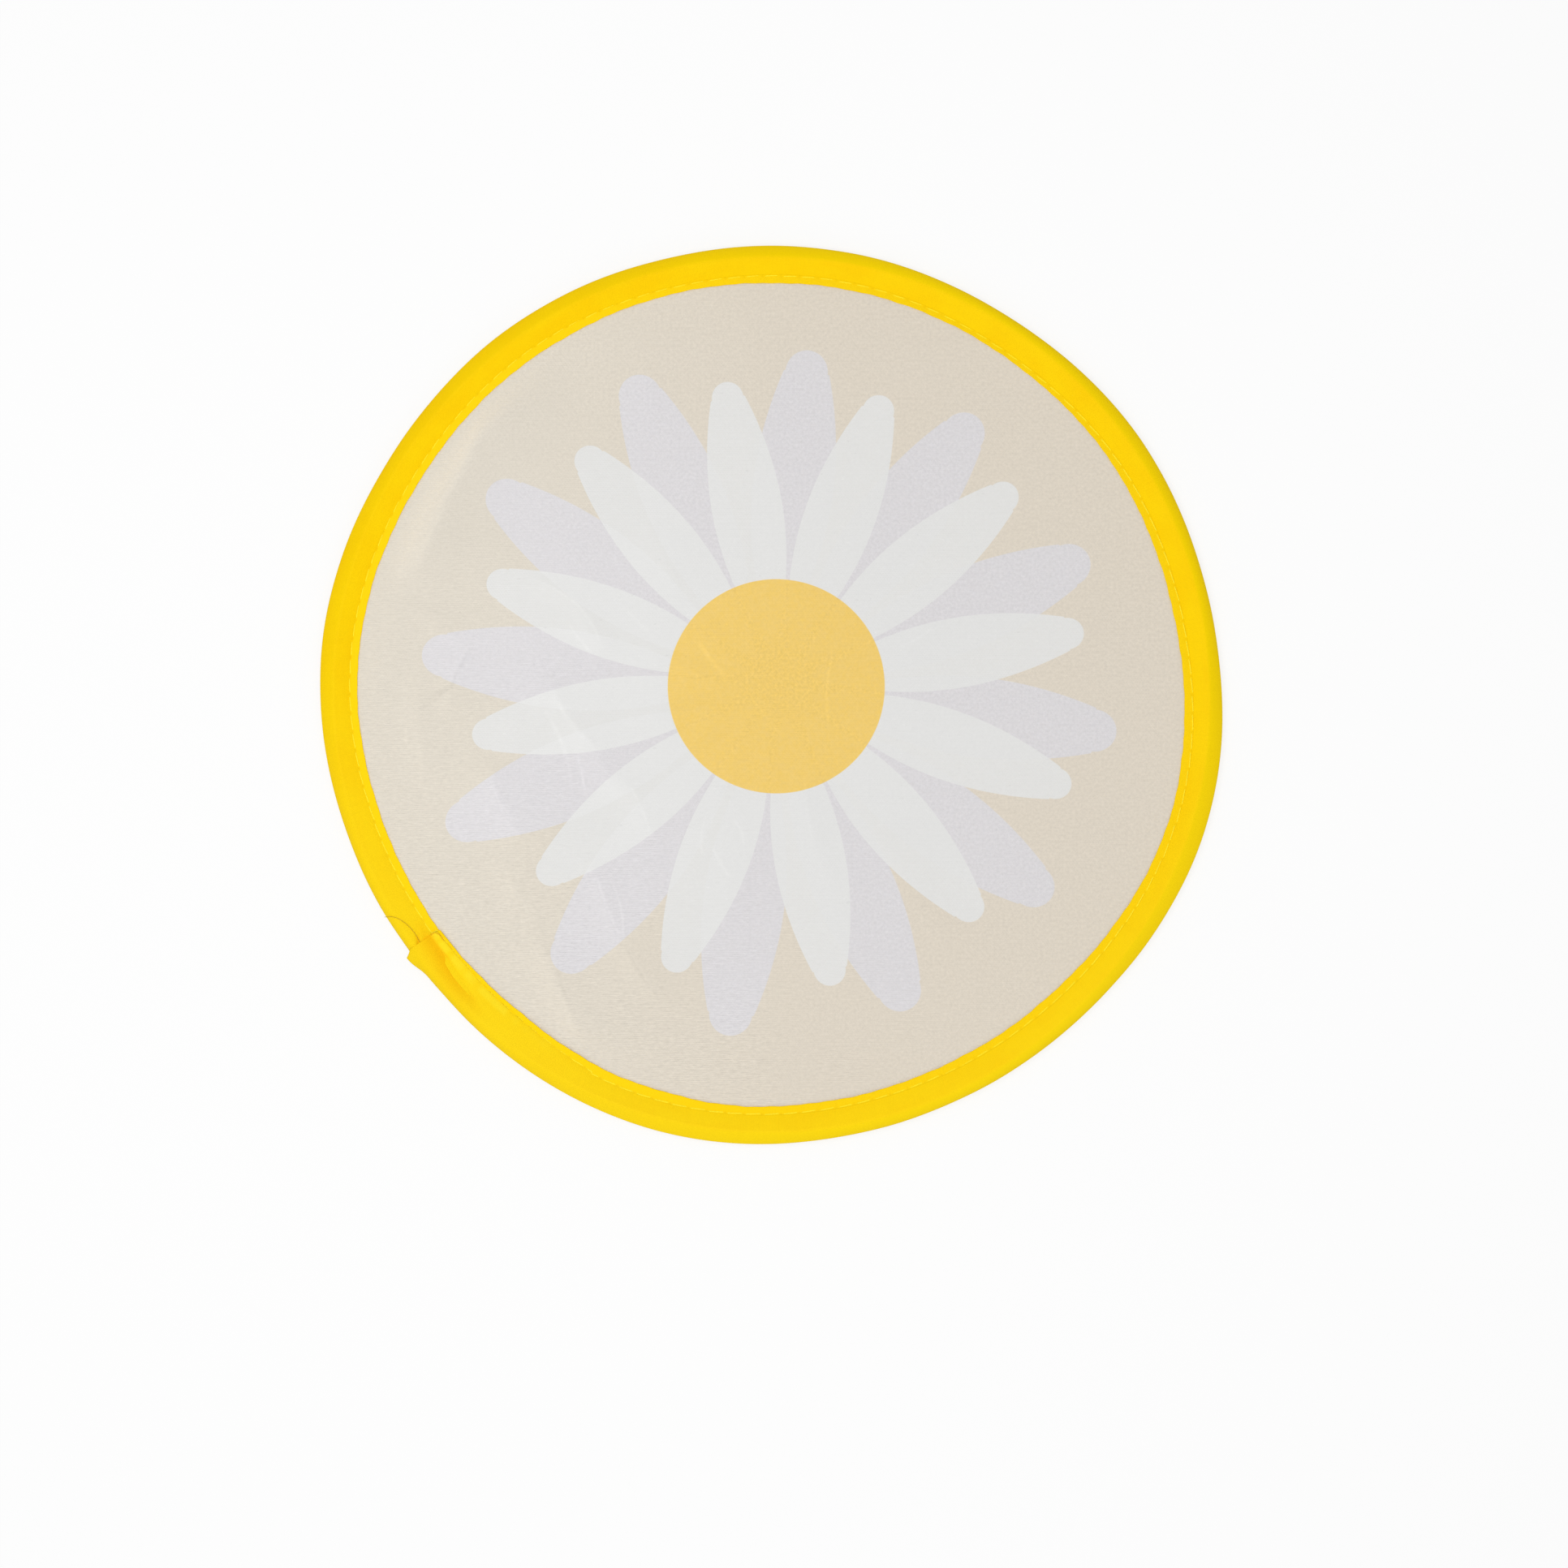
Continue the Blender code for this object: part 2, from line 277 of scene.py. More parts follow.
class Value:
    """A number worked out by a shader's nodes, for sums written as Python expressions."""

    def __init__(self, finish, socket):
        self.finish, self.socket = finish, socket

    def math(self, operation, *values):
        """A Math node on these values."""
        return self.finish.node("ShaderNodeMath", dict(enumerate(values)), operation=operation)

    __add__, __radd__ = both_ways("ADD")
    __sub__, __rsub__ = both_ways("SUBTRACT")
    __mul__, __rmul__ = both_ways("MULTIPLY")
    __truediv__, __rtruediv__ = both_ways("DIVIDE")
    __pow__, __rpow__ = both_ways("POWER")
    __abs__ = on_value("ABSOLUTE")
    sine = on_value("SINE")
    at_least = on_value("MAXIMUM")
    at_most = on_value("MINIMUM")
    # Up to a top and down to 0 again, over and over
    bounce = on_value("PINGPONG")

    def step(self, start, end):
        """0 before start, 1 after end and smooth between."""
        sockets = {"Value": self, "From Min": start, "From Max": end}
        return self.finish.node("ShaderNodeMapRange", sockets, interpolation_type="SMOOTHSTEP")

    def fade(self, start, end):
        """1 before start, 0 after end and smooth between."""
        return 1 - self.step(start, end)


class Finish:
    """A material, or the light of the room, whose nodes are added one at a time."""

    def __init__(self, name, owner=None):
        self.owner = owner or bpy.data.materials.new(name)
        self.owner.use_nodes = True
        self.tree = self.owner.node_tree
        self.tree.nodes.clear()

    def node(self, kind, sockets=(), output=0, **settings):
        """Add a node: its settings first, then the values or links of its sockets."""
        made = self.tree.nodes.new(kind)
        for key, value in settings.items():
            setattr(made, key, value)
        for key, value in dict(sockets).items():
            socket = made.inputs[key]
            if isinstance(value, Value):
                self.tree.links.new(value.socket, socket)
            else:
                socket.default_value = (*value, 1.0) if socket.type == "RGBA" else value
        return Value(self, made.outputs[output]) if made.outputs else None

    def parts(self, vector):
        """The three parts of a vector."""
        first = self.node("ShaderNodeSeparateXYZ", {"Vector": vector})
        return [Value(self, part) for part in first.socket.node.outputs]

    def place(self):
        """The place on the object, in metres."""
        return self.node("ShaderNodeTexCoord", output="Object")

    def level(self, name):
        """A number held by the mesh's points."""
        return self.node("ShaderNodeAttribute", output="Fac", attribute_name=name)

    def layers(self, tone, *layers):
        """A colour with others laid over it in turn, each given with the share that it covers."""
        for share, over in layers:
            sockets = {0: share, 6: tone, 7: over}
            tone = self.node("ShaderNodeMix", sockets, 2, data_type="RGBA", clamp_factor=True)
        return tone

    def tint(self, tone, strength):
        """A colour made lighter or darker."""
        return self.node("ShaderNodeVectorMath", {0: tone, 3: strength}, operation="SCALE")

    def grain(self, vector, size, detail=2.0):
        """Smooth random spots of about this size, from 0 to 1."""
        sockets = {"Vector": vector, "Scale": 1 / size, "Detail": detail, "Roughness": 0.55}
        return self.node("ShaderNodeTexNoise", sockets)

    def spots(self, x, y, size, detail=2.0):
        """The same over two lengths, which may be drawn out differently."""
        return self.grain(self.node("ShaderNodeCombineXYZ", {0: x, 1: y}), size, detail)

    def relief(self, height, depth, strength=0.6):
        """Fine relief that is too small for the mesh."""
        sockets = {"Height": height, "Distance": depth, "Strength": strength}
        return self.node("ShaderNodeBump", sockets)

    def surface(self, **sockets):
        """The shader itself, joined to the material's output."""
        named = {key.replace("_", " "): value for key, value in sockets.items()}
        shader = self.node("ShaderNodeBsdfPrincipled", named)
        self.node("ShaderNodeOutputMaterial", {"Surface": shader})
        return self.owner


# Shapes


def ease(share):
    """A smooth step from 0 to 1 that is level at both ends."""
    share = np.clip(share, 0.0, 1.0)
    return share * share * (3 - 2 * share)


def bell(offset, spread):
    """1 at no offset, falling smoothly to 0 past the spread."""
    return np.exp(-((offset / spread) ** 2))


def wander(along, spacing, lane):
    """Smooth random numbers from -1 to 1 along a line, the same ones each time."""
    drawn = [noise.noise((item / spacing, lane, 0.5)) for item in along.flat]
    return 2 * np.reshape(drawn, along.shape)


def angular_gap(first, second):
    """How far one angle lies past another, from -180 to 180."""
    return (first - second + full_turn / 2) % full_turn - full_turn / 2


def arc_of(turn):
    """Length along the hoop of an angle round it."""
    return np.radians(turn) * wire_radius


def turn_of(arc):
    """Angle round the hoop of a length along it."""
    return degrees(arc / wire_radius)


def around(turn, reach, height):
    """Points from their angle in degrees, radius and height."""
    spin = np.radians(turn)
    return np.stack([reach * np.cos(spin), reach * np.sin(spin), height], axis=-1)


def uneven(angles):
    """How far the fan's outline stands out from a true circle."""
    waves = (size * np.cos(np.radians(count * angles - start)) for count, size, start in outline_waves)
    return mm * sum(waves)


def bumps(angles, table):
    """How much larger a radius is at these angles, by one of the tables above."""
    return mm * sum(size * bell(angular_gap(angles, middle), spread) for middle, spread, size in table)


def edge_line(angles, turns, ribbon):
    """Radius of the ribbon's inner edge."""
    edge = ribbon.edge_radius + uneven(angles) + bumps(angles, edge_bumps)
    return edge + bumps(angles, lap_bumps) * (turns < full_turn / 2)


def row_line(angles, turns, ribbon):
    """Radius of the row of stitches, which keeps nearer to the edge along the lap."""
    even = ribbon.edge_radius + ribbon.row_margin + uneven(angles) + bumps(angles, row_bumps)
    arc = arc_of(turns)
    places, margins = np.array(lap_margins) * mm
    lapped = edge_line(angles, turns, ribbon) + np.interp(arc, places, margins)
    return np.where(arc < places[-1], lapped, even)


# Samples across one face of the ribbon: edge to row, row to crest, crest to nose
hem_shares = np.array([0.0, 0.09, 0.22, 0.38, 0.55, 0.70, 0.82, 0.91, 1.0])
slope_shares = np.array([0.07, 0.15, 0.25, 0.37, 0.50, 0.63, 0.75, 0.86, 0.94, 1.0])
nose_shares = np.linspace(0.1, 1.0, 10)
row_to_crest = 0.0042
crest_to_nose = 0.0036
row_to_row = 2 * (row_to_crest + crest_to_nose)


def turned_under(arc, ribbon):
    """1 along the end that is turned under, and 0 past it."""
    return 1 - ease((arc - ribbon.fold_length) / (1.6 * mm))


def ribbon_face(angles, turns, side, ribbon, stitch):
    """The ribbon's outer face from its edge to its nose: radii and heights, one row per angle.

    side is 1 on the printed face and -1 on the back. turns are counted from the turned-under end.
    """
    angles, turns = np.reshape(angles, (-1, 1)), np.reshape(turns, (-1, 1))
    arc = arc_of(turns)
    settle = 12 * mm
    over = 1 - ease((arc - ribbon.lap_length) / settle)
    past = arc_of(angular_gap(angles, degrees(ribbon.lap_angle)))
    lapped = ease((past + settle) / settle) * (1 - ease((past - ribbon.lap_length) / settle))
    layer = over * ribbon.layer + turned_under(arc, ribbon) * 0.18 * mm
    shift = (over - lapped) * ribbon.layer

    wave = uneven(angles)
    hole = 0.5 + 0.5 * np.cos(np.radians(angles * stitch.count))
    lanes = ((5, 1.0), (17, 7.0), (45, 11.0))
    ripple, slow, slower = (wander(arc, spacing * mm, lane + side) for spacing, lane in lanes)
    edge = edge_line(angles, turns, ribbon) + (0.08 * (hole - 0.5) + 0.07 * ripple) * mm
    row = row_line(angles, turns, ribbon)
    inner_crest = ribbon.crest_radius + 0.3 * wave
    outer_crest = inner_crest + 0.25 * mm
    tip = ribbon.tip_reach * (1 - ease(arc / (7.4 * mm))) - 0.15 * mm * bell(arc - 13 * mm, 6 * mm)
    nose = ribbon.outer_radius + wave + shift + tip + 0.05 * mm * slow
    crest = ribbon.crest_height + layer if side > 0 else ribbon.floor_height + shift
    row_height = ribbon.row_height + layer
    edge_height = ribbon.edge_height + layer + 0.05 * mm * ripple

    hem_radius = edge + (row - edge) * hem_shares
    hem_drop = ease(hem_shares) * 0.45 + hem_shares * 0.55
    hem = edge_height + (row_height - edge_height) * hem_drop
    slope_radius = row + (inner_crest - row) * slope_shares
    # Along the lap the ribbon lies flat up to a crease, and climbs to the crest from there
    creased, crease_line = lap_crease(arc)
    rest = (slope_radius - crease_line) / (inner_crest - crease_line)
    share = slope_shares * (1 - creased) + rest.clip(0, 1) * creased
    slope = row_height + (crest - row_height) * (0.78 * share + 0.22 * np.sin(share * pi / 2))
    bluntness = 1.25 + 0.6 * ease((0.3 * mm - wave - tip) / (1.4 * mm))
    quarter = nose_shares * pi / 2
    out, down = (curve(quarter).clip(0, 1) ** (2 / bluntness) for curve in (np.sin, np.cos))
    nose_radius = outer_crest + (nose - outer_crest) * out
    shoulder = crest * down

    radii = np.hstack([hem_radius, slope_radius, nose_radius])
    heights = np.hstack([hem, slope, shoulder])

    # The stitches draw the ribbon in at their holes, and it swells and flutters between them
    drawn = stitch.pull * (1 + 0.9 * over * (side > 0))
    heights -= drawn * hole * bell(radii - row, 0.5 * mm)
    heights += 0.05 * mm * (1 - hole) * bell(radii - row - 1.3 * mm, 0.8 * mm)
    heights += 0.10 * mm * (hole - 0.5) * bell(radii - edge, 0.9 * mm)
    slope_middle = 96.2 * mm
    heights += bell(radii - slope_middle, 2.6 * mm) * (slow * 0.035 + slower * 0.045 - 0.04) * mm
    if side > 0:
        heights += lap_marks(angles, turns, radii, ribbon)[0]
    heights[:, -1] = 0.0
    return radii, np.minimum(heights, middle_height)


def lap_crease(arc):
    """How strong the crease along the lapped end is, and its radius."""
    along = arc / mm
    line = (92.75 + 0.055 * along + 0.0035 * along**2).clip(0, 95.5) * mm
    return 1 - ease((along - 8) / 16), line


def lap_marks(angles, turns, radii, ribbon):
    """What the lap does to the printed face: its relief, 1 in its folds and tuck, where shade is
    painted, and 1 along its hem, where light is painted.
    """
    arc = arc_of(turns)
    along = arc / mm
    row = row_line(angles, turns, ribbon)
    strength, line = lap_crease(arc)
    off = radii - line
    hill = 0.16 * bell(off + 1.1 * mm, 0.75 * mm) + 0.12 * bell(off - 1.7 * mm, 1.0 * mm)
    crease = strength * (hill - 0.16 * bell(off, 0.34 * mm))
    sewn = ease((along - 0.5) / 1.5) * (1 - ease((along - 30) / 12))
    groove = 0.10 * sewn * bell(radii - row, 0.20 * mm)
    lip = 0.06 * bell(along - 0.6, 0.9) * bell(radii - 96.5 * mm, 2.4 * mm)

    # The small tuck where the lower layer goes under the turned-under end
    back = -angular_gap(angles, degrees(ribbon.lap_angle)) / 2.5
    drawn = (turns > full_turn / 2) * ease((back + 0.5) / 0.4)
    kept = 1 - ease(back)
    from_tuck = radii - (96.1 - 1.8 * back) * mm
    tuck = 0.4 * bell(from_tuck + 0.9 * mm, 0.5 * mm) - bell(from_tuck, 0.36 * mm)
    relief = (crease - groove + lip + 0.55 * drawn * kept * tuck) * mm

    # Painted shade: where the crease's fold, the tuck and the place beside it lie in shade
    folded = strength * bell(off, np.where(off > 0, 3.1, 0.2) * mm)
    beside = 0.5 * bell(radii - 94 * mm, 1.3 * mm) * (1 - ease(back / 1.6))
    painted_fold_shade = np.maximum(folded, drawn * np.maximum(kept * bell(from_tuck, 0.45 * mm), beside))

    # Painted light: the lit strip along the lap's hem
    outer = np.minimum(row + 1.7 * mm, line - 0.05 * mm)
    inside = ease((radii - row) / (0.25 * mm)) * ease((outer - radii) / (0.28 * mm) + 0.5)
    patchy = 0.80 + 0.95 * wander(arc, 2.0 * mm, 15.0)
    painted_lit = inside * patchy * (1 - ease((along - 20) / 22))
    return relief, painted_fold_shade, painted_lit.clip(0, 1)


def face_height(angles, radii, side, ribbon, stitch):
    """Height of one face of the ribbon at points round the fan, over the cloth's middle."""
    turns = (angles - degrees(ribbon.lap_angle)) % full_turn
    across, up = ribbon_face(angles, turns, side, ribbon, stitch)
    return np.array([np.interp(*point) for point in zip(radii, across, up)])


def add_object(name, data):
    """Put an object with this data in the scene."""
    made = bpy.data.objects.new(name, data)
    bpy.context.scene.collection.objects.link(made)
    return made


def add_piece(name, points, faces, materials):
    """Make a smooth mesh object."""
    mesh = bpy.data.meshes.new(name)
    mesh.from_pydata(points, [], faces)
    for material in materials:
        mesh.materials.append(material)
    mesh.shade_smooth()
    return add_object(name, mesh)


def write_map(piece, name, places):
    """Write a UV map from one place per face corner."""
    layer = piece.data.uv_layers.new(name=name)
    layer.data.foreach_set("uv", np.asarray(places, np.float32).ravel())


def write_level(piece, name, levels):
    """Write one number per point, for the piece's finish to use."""
    layer = piece.data.attributes.new(name=name, type="FLOAT", domain="POINT")
    layer.data.foreach_set("value", np.asarray(levels, np.float32).ravel())


def corners_of(faces):
    """The point and the face of every face corner."""
    return np.hstack(faces), np.repeat(np.arange(len(faces)), [len(face) for face in faces])


# The cloth


def cloth_relief(x, y, cloth):
    """Height of the cloth over its flat middle."""
    height = np.zeros_like(x)
    for crest, left, right, rise in cloth_folds:
        across, up = np.array(crest[::-1]).T * mm
        span = up[-1] - up[0]
        off = (x - np.interp(y, up, across)) * span / np.hypot(across[-1] - across[0], span)
        spread = np.where(off < 0, left, right) * mm
        along = (y - up[0]) / span
        taper = ease((along + 0.12) / 0.35) * ease((1.12 - along) / 0.35)
        height += rise * mm * np.exp(-((np.abs(off) / spread) ** 1.3)) * taper
    slack = 0.25 + 0.75 * ease((0.03 - x) / 0.11)
    soft, fine = (
        np.array([noise.noise((a / wide, b / tall, lane)) for a, b in zip(x, y)])
        for wide, tall, lane in ((0.022, 0.034, 4.0), (0.006, 0.011, 9.0))
    )
    height += slack * (0.34 * soft + 0.05 * fine) * mm
    # Flat where the ribbon holds it
    calm = ease((cloth.radius - 2.8 * mm - np.hypot(x, y)) / (5.5 * mm))
    return height * cloth.folds * calm


class FAN_OT_cloth(bpy.types.Operator):
    """Stretch the printed cloth disc"""

    bl_idname = "fan.cloth"
    bl_label = "Stretch Cloth"

    def execute(self, context):
        cloth = context.scene.fan_cloth
        cells = 205
        line = np.linspace(-1, 1, cells + 1)
        u, v = (item.ravel() for item in np.meshgrid(line, line, indexing="ij"))
        # A square grid drawn out into a disc, so that its cells stay about even
        wide = np.abs(u) >= np.abs(v)
        reach, other = np.where(wide, (u, v), (v, u))
        spot = reach * np.exp(0.25j * pi * other / reach)
        spot = np.where(wide, spot, 1j * spot.conj())
        spot *= cloth.radius + uneven(np.degrees(np.angle(spot))) * np.abs(spot)
        x, y = spot.real, spot.imag
        height = middle_height + cloth_relief(x, y, cloth)
        probe = 0.3 * mm
        ahead, behind = (cloth_relief(x + step, y, cloth) for step in (probe, -probe))
        half = cloth.thickness / 2
        points = np.vstack([np.column_stack([x, y, height + lift]) for lift in (half, -half)])
        index = np.arange(len(spot)).reshape(cells + 1, -1)
        corners = [index[:-1, :-1], index[1:, :-1], index[1:, 1:], index[:-1, 1:]]
        front = np.stack(corners, axis=-1).reshape(-1, 4)
        back = front[:, ::-1] + len(spot)
        border = np.hstack([index[:-1, 0], index[-1, :-1], index[:0:-1, -1], index[0, :0:-1]])
        after = np.roll(border, -1)
        rim = np.column_stack([after, border, border + len(spot), after + len(spot)])
        faces = np.vstack([front, back, rim])
        names = ("printed_cloth", "printed_cloth_back")
        finishes = [cloth_finish(context.scene, name) for name in names]
        piece = add_piece("panel_cloth", points.tolist(), faces.tolist(), finishes)
        # The cloth's slope along +X, for the painted light and shade on its folds
        write_level(piece, "painted_fold_light", np.tile((ahead - behind) / (2 * probe), 2))
        unprinted = np.arange(len(faces)) >= len(front)
        piece.data.polygons.foreach_set("material_index", unprinted.astype(int))
        corner, face = corners_of(faces)
        flat = np.tile(points[: len(spot), :2] / (2 * cloth.radius * 1.02), (2, 1))[corner]
        # Front face large, back face small and mirrored, rim in a strip along the foot
        places = np.where((face < len(front))[:, None], flat * 0.76 + 0.39, flat * (-0.38, 0.38) + 0.80)
        along = (np.arange(len(border))[:, None] + (1, 0, 0, 1)).ravel() / len(border)
        strip = np.tile((0.004, 0.004, 0.008, 0.008), len(border))
        places[face >= 2 * len(front)] = np.column_stack([0.01 + along * 0.98, strip])
        write_map(piece, "OFBake", places)
        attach(piece, "cover")
        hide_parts("fabric_panel")
        return {"FINISHED"}


def from_middle(x, y, middle):
    """How far a place lies from a middle: across, up and straight."""
    across, up = x - middle[0], y - middle[1]
    return across, up, (across * across + up * up) ** 0.5


def petal_ring(x, y, count, lengths, middle, turn):
    """How far inside a ring of petals a place lies."""
    belly, width, run, tip, tip_radius = lengths
    across, up, reach = from_middle(x, y, middle)
    aside = (across.math("ARCTAN2", across, up) - turn).bounce(pi / count) * reach
    edge = width * (1 - (abs(reach - belly) / run) ** 1.96)
    beyond = (reach - tip).at_least(0.0)
    short = (tip - reach).at_least(0.0)
    round_end = tip_radius + short * 2.0 - (beyond * beyond + aside * aside) ** 0.5
    return (edge - aside).at_most(round_end)


def rosette(x, y, prints):
    """Masks of the lilac petals, the white petals and the disc."""
    x = x * (1 - prints.stretch + y * prints.flare)
    count = prints.petals
    shapes = (
        petal_ring(x, y, count, prints.lilac_ring, prints.lilac_place, prints.lilac_turn),
        petal_ring(x, y, count, prints.white_ring, prints.white_place, prints.white_turn),
        prints.disc_radius - from_middle(x, y, prints.disc_place)[2],
    )
    blur = 0.12 * mm
    return [inside.step(-blur, blur) for inside in shapes]


def weave(finish, x, y, cloth):
    """Plain weave: its relief, and how light its yarns look.

    The yarns lie in clear rows where the cloth is slack, and look even where it is taut.
    """
    wobble = finish.spots(x * 0.25, y, 0.004, 1.0) - 0.5
    rows = (y + wobble * 0.00012) * (pi / cloth.weft_pitch)
    crossing = rows.sine() * (x * (pi / cloth.warp_pitch)).sine()
    ribs = (rows * 2.0).sine()
    slubs = finish.spots(x * 0.13, y, 0.00042) - 0.5
    knots = finish.spots(x * 0.35, y, 0.0004) - 0.5
    even = finish.spots(x, y, 0.00065) - 0.5
    relief = ribs * 0.35 + crossing * 0.3 + slubs * 0.6 + knots * 0.6 + even * 0.6
    rowed = (finish.spots(x * 0.6, y, 0.014) - x * 4.0 - y * 2.2).step(0.42, 0.82)
    broken = finish.spots(x * 0.8, y, 0.0013, 1.0).step(0.35, 0.65)
    in_rows = (ribs * broken * 0.050 + slubs * 0.13 + knots * 0.20) * (1.05 - y * 5.0)
    return relief, in_rows * rowed + even * 0.26 * (1 - rowed * 0.7)


def crease_cracks_and_shading(finish, x, y):
    """Lines along the creases: pale where the print has cracked, with painted light along lit fold
    lines and painted shade where a strength is negative.
    """
    total = 0.0
    fray = finish.spots(x, y, 0.0022).step(0.36, 0.60)
    for x0, y0, x1, y1, half_width, bow, strength in cloth_creases:
        run, climb = (x1 - x0) * mm, (y1 - y0) * mm
        reach = float(np.hypot(run, climb))
        east, north = run / reach, climb / reach
        along = (x - x0 * mm) * east + (y - y0 * mm) * north
        off = (x - x0 * mm) * north - (y - y0 * mm) * east
        line = (along * (pi / reach)).sine() * (bow * reach)
        near = abs(off - line).fade(0.0, half_width * 2.1 * mm)
        inside = along.step(0.0, 0.2 * reach) * along.fade(0.8 * reach, reach)
        total = near * inside * strength + total
    return total * (fray * 0.85 + 0.65)


def cloth_finish(scene, name):
    """Plain weave with the rosette printed on it, which shows through faintly on its back; the front
    has painted light and shade on its left side, its folds and its creases.
    """
    colours = scene.fan_colours
    finish = Finish(name)
    place_on = finish.place()
    x, y, _ = finish.parts(place_on)
    lilac, white, disc = rosette(x, y, scene.fan_print)
    relief, light = weave(finish, x, y, scene.fan_cloth)
    mottle = finish.grain(place_on, 0.0016) - 0.5
    if name == "printed_cloth":
        patches = finish.grain(place_on, 0.03, 3.0) - 0.5
        # Ink that sank in less stands thinner, and lets the ground through
        thin = (finish.grain(place_on, 0.0009) - 0.5) * 0.12
        specks = finish.spots(x * 0.6, y, 0.0009, 1.0)
        # Painted light: the cloth's left side and its petals are painted lighter, as if more brightly
        # lit
        cloth_lit_left = (0.02 - x).step(0.0, 0.1)
        # Pale cracks along the creases, with painted light and painted shade along their fold lines
        creased = crease_cracks_and_shading(finish, x, y)
        # Painted light and shade on the soft folds: lighter where a fold's side faces left, towards the
        # light, darker where it faces right
        painted_fold_light = finish.level("painted_fold_light").at_least(-0.5).at_most(0.5)
        tone = finish.layers(
            colours.ground,
            (cloth_lit_left, colours.ground_lit_left),
            (lilac * (0.94 + thin), colours.lilac),
            (white * (0.95 + thin), colours.white),
            (disc * (0.97 + thin), colours.disc),
        )
        strength = 0.985 + light * (1 - white * 0.72 + disc * 0.3) + patches * 0.012 + mottle * 0.030
        # Painted light and shade go into the strength: lighter on the left, along the crease lines, and
        # on the folds' sides that face the light
        strength = strength + cloth_lit_left * (0.009 + lilac * 0.040 + white * 0.014) + creased + painted_fold_light * 0.26
        strength = strength + (specks.step(0.72, 0.80) * 0.05 - specks.fade(0.20, 0.28) * 0.06)
        roughness = 0.86 - white.at_least(lilac).at_least(disc) * 0.06 + mottle * 0.1
        normal = finish.relief(relief + abs(creased) * 30.0, 0.00003)
    else:
        bare = 1 - disc
        tone = finish.layers(
            colours.back,
            (lilac * bare * 0.45, colours.lilac),
            (white * bare * 0.5, colours.white),
            (disc * 0.5, colours.disc),
        )
        strength = 0.97 + light * 1.3 + mottle * 0.04
        roughness = 0.9 + mottle * 0.08
        normal = finish.relief(relief, 0.00004)
    return finish.surface(
        Base_Color=finish.tint(tone, strength),
        Roughness=roughness,
        Specular_IOR_Level=0.12,
        Sheen_Weight=0.05,
        Sheen_Roughness=0.5,
        Normal=normal,
    )


# The ribbon


def ribbon_stations(ribbon, stitch):
    """Turns at which the ribbon's section is placed: even ones, closer together at the lap."""
    total = full_turn + turn_of(ribbon.lap_length)
    even = np.arange(0, total, full_turn / stitch.count / 6)
    close = turn_of(0.26 * mm)
    start = np.arange(0, turn_of(15 * mm), close)
    before = np.arange(full_turn - turn_of(6 * mm), full_turn + turn_of(1.5 * mm), close)
    rounding = [turn_of(share * mm) for share in (0.02, 0.07, 0.15, 0.25)]
    turns = np.unique(np.round(np.hstack([even, start, before, rounding, total]), 5))
    keep = [turns[0]]
    for turn in turns[1:]:
        if turn - keep[-1] > turn_of(0.045 * mm):
            keep.append(turn)
    keep[-1] = total
    return np.array(keep)


